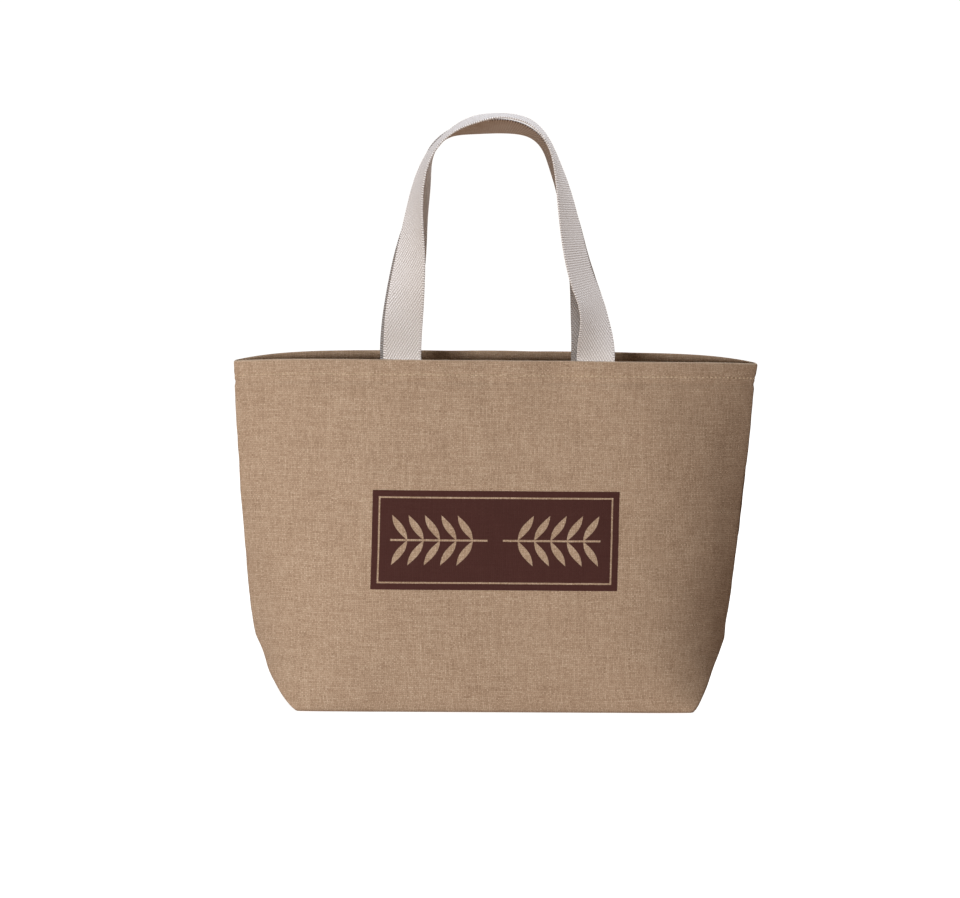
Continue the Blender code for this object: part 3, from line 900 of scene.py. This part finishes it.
def webbing():
    """Unbleached cotton webbing: small pale beads of yarn line up as steep diagonals, mirrored from
    leg to leg, and give way to level ribs on the upper right leg. Plain selvedges, dry and matt."""
    material, tree, shader = new_material(
        "cotton twill webbing", Roughness=0.85, Sheen_Weight=0.2, Sheen_Roughness=0.5,
        Specular_IOR_Level=0.25,
    )
    cloth = add_node(tree, "UVMap", uv_map="cloth")
    split = add_node(tree, "SeparateXYZ", [cloth]).node.outputs
    s, t = split["X"], split["Y"]
    uneven = add_node(tree, "TexNoise", {"Vector": cloth, "Scale": 1 / UNEVEN, "Detail": 1.0})
    uneven = add_node(tree, "Math", [uneven, 2.2], operation="MULTIPLY")
    slant = add_node(tree, "Math", [s, -2 * math.pi / TWILL_ACROSS, uneven], operation="MULTIPLY_ADD")
    climb = add_node(tree, "Math", [t], operation="ABSOLUTE")
    climb = add_node(tree, "Math", [climb, -2 * math.pi / TWILL_ALONG], operation="MULTIPLY")
    slant = add_node(tree, "Math", [climb, slant], operation="ADD")
    slant = add_node(tree, "Math", [slant], operation="SINE")
    level = add_node(tree, "Math", [s, PICK_SLOPE, t], operation="MULTIPLY_ADD")
    level = add_node(tree, "Math", [level, 2 * math.pi / PICK, uneven], operation="MULTIPLY_ADD")
    level = add_node(tree, "Math", [level], operation="SINE")
    beads = add_node(tree, "Math", [level, 0.5, 0.6], operation="MULTIPLY_ADD")
    beads = add_node(tree, "Math", [slant, beads], operation="MULTIPLY")
    from_middle = add_node(tree, "Math", [t, LEVEL_MIDDLE], operation="SUBTRACT")
    from_middle = add_node(tree, "Math", [from_middle], operation="ABSOLUTE")
    off = {"From Min": LEVEL_REACH - LEVEL_BLEND, "From Max": LEVEL_REACH + LEVEL_BLEND}
    off = add_node(tree, "MapRange", {"Value": from_middle, **off, "To Min": 0.1, "To Max": 0.9})
    faint = add_node(tree, "Math", [level, 0.65], operation="MULTIPLY")
    ribs = add_node(tree, "Mix", {"Factor": off, "A": faint, "B": beads})
    edge = add_node(tree, "Math", [s], operation="ABSOLUTE")
    body_ends = WEB_WIDTH / 2 - SELVEDGE
    edge = {"Value": edge, "From Min": body_ends, "From Max": body_ends + SELVEDGE_BLEND}
    edge = add_node(tree, "MapRange", edge)
    ribs = add_node(tree, "Mix", {"Factor": edge, "A": ribs, "B": level})
    fibres = add_node(tree, "TexNoise", {"Vector": cloth, "Scale": 1 / FIBRE, "Detail": 2.0})
    worn = add_node(tree, "TexNoise", {"Vector": cloth, "Scale": 1 / RUBBED, "Detail": 2.0})
    worn = {"Value": worn, "From Min": 0.35, "From Max": 0.65, "To Min": 0.45}
    worn = add_node(tree, "MapRange", worn)
    ribs = add_node(tree, "Math", [ribs, worn], operation="MULTIPLY")
    tone = add_node(tree, "Math", [ribs, 0.68, -0.15], operation="MULTIPLY_ADD")
    tone = add_node(tree, "Math", [fibres, 1.3, tone], operation="MULTIPLY_ADD")
    spun = {"Factor": tone, "A": colour("AAA09A"), "B": colour("FAF6F3")}
    tree.links.new(add_node(tree, "Mix", spun, data_type="RGBA"), shader.inputs["Base Color"])
    height = add_node(tree, "Math", [fibres, 0.3, ribs], operation="MULTIPLY_ADD")
    picks = {"Height": height, "Distance": PICK_DEPTH, "Strength": 0.6}
    tree.links.new(add_node(tree, "Bump", picks), shader.inputs["Normal"])
    return material


webbing_finish = webbing()
for name, node, stations, back in (
    ("webbing_front", "handle_front", FRONT_HANDLE, False),
    ("webbing_back", "handle_back", BACK_HANDLE, True),
):
    handle, cut = build_handle(name, stations, back, webbing_finish)
    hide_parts(node)
    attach(handle, "root")


# ---------------------------------------------------------------- floor, light and camera
# A pale sweep that curves up all round the bag. The jute has its own soft key from low on the front
# left, and barn doors keep it off the handles, which have theirs from the front and the sides. The
# room is dim, and warm below. The camera stands where the photograph was taken.

FLOOR_BELOW = 0.5 * MM
SWEEP_MIDDLE = 1.0
SWEEP_RADIUS = 5.0
SWEEP_CURVE = 0.6
SWEEP_HEIGHT = 4.0
SWEEP_SIDES = 64
CURVE_STEPS = 12


def pale_sweep():
    """Opal acrylic lit from behind, as for catalogue pictures: a round floor that curves up into a
    wall. It glows evenly, so that almost no shadow shows on it."""
    profile = [(SWEEP_MIDDLE, 0.0), (SWEEP_RADIUS - SWEEP_CURVE, 0.0)]
    for k in range(1, CURVE_STEPS + 1):
        angle = math.pi / 2 * k / CURVE_STEPS
        reach = SWEEP_RADIUS - SWEEP_CURVE * (1 - math.sin(angle))
        profile.append((reach, SWEEP_CURVE * (1 - math.cos(angle))))
    profile.append((SWEEP_RADIUS, SWEEP_HEIGHT))
    turns = [2 * math.pi * k / SWEEP_SIDES for k in range(SWEEP_SIDES)]
    points = [(r * math.sin(a), r * math.cos(a), z - FLOOR_BELOW) for r, z in profile for a in turns]
    faces = [list(range(SWEEP_SIDES))[::-1]]
    for k in range(len(profile) - 1):
        for i in range(SWEEP_SIDES):
            j = (i + 1) % SWEEP_SIDES
            low, high = k * SWEEP_SIDES, (k + 1) * SWEEP_SIDES
            faces.append((low + i, low + j, high + j, high + i))
    material, _, _ = new_material(
        "backlit opal acrylic", Roughness=0.9, Base_Color=colour("D9D9D9"),
        Emission_Color=colour("FFFFFF"), Emission_Strength=0.97,
    )
    return add_piece("studio_sweep", points, faces, [material])


# The sweep neither lights nor shades the bag, so the room's warm light reaches it from below
sweep = pale_sweep()
sweep.visible_diffuse = False
sweep.visible_glossy = False
sweep.visible_shadow = False

ROOM_ABOVE = 0.15
ROOM_BELOW = 0.3
HORIZON_BLUR = 0.25

scene = bpy.context.scene
scene.view_settings.view_transform = "Standard"
world = bpy.data.worlds.new("studio")
scene.world = world
world.use_nodes = True
studio = world.node_tree
facing = add_node(studio, "TexCoord").node.outputs["Generated"]
facing = add_node(studio, "SeparateXYZ", [facing]).node.outputs["Z"]
facing = {"Value": facing, "From Min": -HORIZON_BLUR, "From Max": HORIZON_BLUR}
facing = add_node(studio, "MapRange", facing)
glow = {"Factor": facing, "A": colour("C49A78"), "B": colour("E6D2BE")}
glow = add_node(studio, "Mix", glow, data_type="RGBA")
strength = add_node(studio, "MapRange", {"Value": facing, "To Min": ROOM_BELOW, "To Max": ROOM_ABOVE})
background = studio.nodes["Background"]
studio.links.new(glow, background.inputs["Color"])
studio.links.new(strength, background.inputs["Strength"])


def soft_light(name, place, aim, size, power, falls_on=(), tint="FFFFFF", fan=180):
    """A flat soft lamp that fans out over some degrees. Barn doors keep it on the named pieces."""
    lamp = bpy.data.lights.new(name, "AREA")
    lamp.shape = "RECTANGLE"
    lamp.size, lamp.size_y = size
    lamp.energy = power
    lamp.spread = math.radians(fan)
    lamp.color = colour(tint)[:3]
    light = bpy.data.objects.new(name, lamp)
    light.location = place
    light.rotation_euler = (Vector(aim) - Vector(place)).to_track_quat("-Z", "Y").to_euler()
    light.visible_camera = False
    if falls_on:
        lit = bpy.data.collections.new(name + " falls on")
        for piece in falls_on:
            lit.objects.link(bpy.data.objects[piece])
        light.light_linking.receiver_collection = lit
    bpy.context.collection.objects.link(light)


# Each lamp: its place, what it is aimed at, its size in metres, its power in watts, the pieces it
# falls on, its tint and its fan in degrees
BAG = ("burlap_body", "hem_stitches_outside", "hem_stitches_inside")
HANDLES = ("webbing_front", "webbing_back")
soft_light("bag key", (-1.9, -3.5, 0.47), (0, 0, 0.2), (1.5, 0.6), 132, BAG)
soft_light("handle key", (-0.28, -3.9, 1.3), (0, 0, 0.45), (0.8, 0.8), 92, HANDLES[:1])
soft_light("shaded handle key", (-0.28, -3.9, 1.3), (0, 0, 0.45), (0.8, 0.8), 38, HANDLES[1:])
soft_light("handle left", (-3.0, -0.8, 1.0), (0, 0, 0.45), (0.8, 0.8), 36, HANDLES[:1], "FFF9F2")
soft_light("handle right", (3.0, -0.8, 1.0), (0, 0, 0.45), (0.8, 0.8), 18, HANDLES[:1], "EEF3FF")
soft_light("overhead", (-0.4, -0.3, 2.3), (0, 0, 0.4), (1.0, 1.0), 18, HANDLES, "DCE9FF")
soft_light("thrown up by the jute", (0, 0, 0.2), (0, 0, 0.5), (0.1, 0.05), 0.013, HANDLES, "FFD9BC", 50)
soft_light("rear", (0.9, 1.0, 1.5), (0, 0, 0.2), (1.0, 1.0), 15)
soft_light("back fill", (0.6, 3.8, 0.6), (0, 0, 0.2), (1.5, 0.6), 60, BAG)

CAMERA_PLACE = (-0.014646, -2.2, 0.60)
CAMERA_PITCH = 9.3835
CAMERA_ROLL = 0.29
LENS = 89.3655

lens = bpy.data.cameras.new("camera")
lens.lens = LENS
lens.sensor_width = 36
lens.sensor_fit = "HORIZONTAL"
camera = bpy.data.objects.new("camera", lens)
turned = Euler((math.radians(90 - CAMERA_PITCH), 0, 0)).to_matrix().to_4x4()
camera.matrix_world = (
    Matrix.Translation(CAMERA_PLACE) @ turned @ Matrix.Rotation(math.radians(CAMERA_ROLL), 4, "Z")
)
bpy.context.collection.objects.link(camera)
scene.camera = camera
